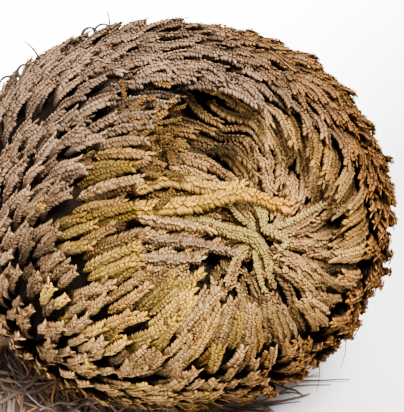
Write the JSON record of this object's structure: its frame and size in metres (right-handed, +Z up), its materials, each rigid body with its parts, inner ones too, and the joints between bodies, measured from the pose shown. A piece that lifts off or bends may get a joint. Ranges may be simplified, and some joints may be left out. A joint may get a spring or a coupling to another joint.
{
  "type": "rose of jericho",
  "caption": "Dried resurrection plant curled into a ball: overlapping leafy fronds close over a shallow mouth with paler inner fronds, on a flat mat of wiry roots.",
  "frame": {"origin": "on the flat underside of the root mat, below the middle of the frond ball", "axes": "+Z up, away from the surface that the plant rests on; the open mouth of the ball faces -Y, +X and up"},
  "size_m": [0.1171, 0.086, 0.0843],
  "materials": {
    "dry_brown_bark": "matt, rough dry bark",
    "wiry_root": "matt, fibrous",
    "dry_taupe_frond": "matt, dry scale leaves",
    "dry_straw_frond": "matt, dry scale leaves",
    "ochre_frond": "matt, dry scale leaves",
    "young_green_frond": "matt, dry scale leaves"
  },
  "bodies": {
    "root": {"crown": "dry_brown_bark", "root_mat": "wiry_root", "outer_frond_01": "dry_taupe_frond", "outer_frond_02": "dry_taupe_frond", "outer_frond_03": "dry_taupe_frond", "outer_frond_04": "dry_taupe_frond", "outer_frond_05": "dry_taupe_frond", "outer_frond_06": "dry_taupe_frond", "outer_frond_07": "dry_taupe_frond", "outer_frond_08": "dry_taupe_frond", "outer_frond_09": "dry_taupe_frond", "outer_frond_10": "dry_taupe_frond", "outer_frond_11": "dry_taupe_frond", "outer_frond_12": "dry_taupe_frond", "outer_frond_13": "dry_taupe_frond", "inner_frond_1": "dry_straw_frond", "inner_frond_2": "dry_straw_frond", "inner_frond_3": "dry_straw_frond", "inner_frond_4": "dry_straw_frond", "inner_frond_5": "dry_straw_frond", "inner_frond_6": "dry_straw_frond", "inner_frond_8": "dry_straw_frond", "arching_frond": "ochre_frond", "heart_fronds": "young_green_frond"}
  },
  "joints": []
}
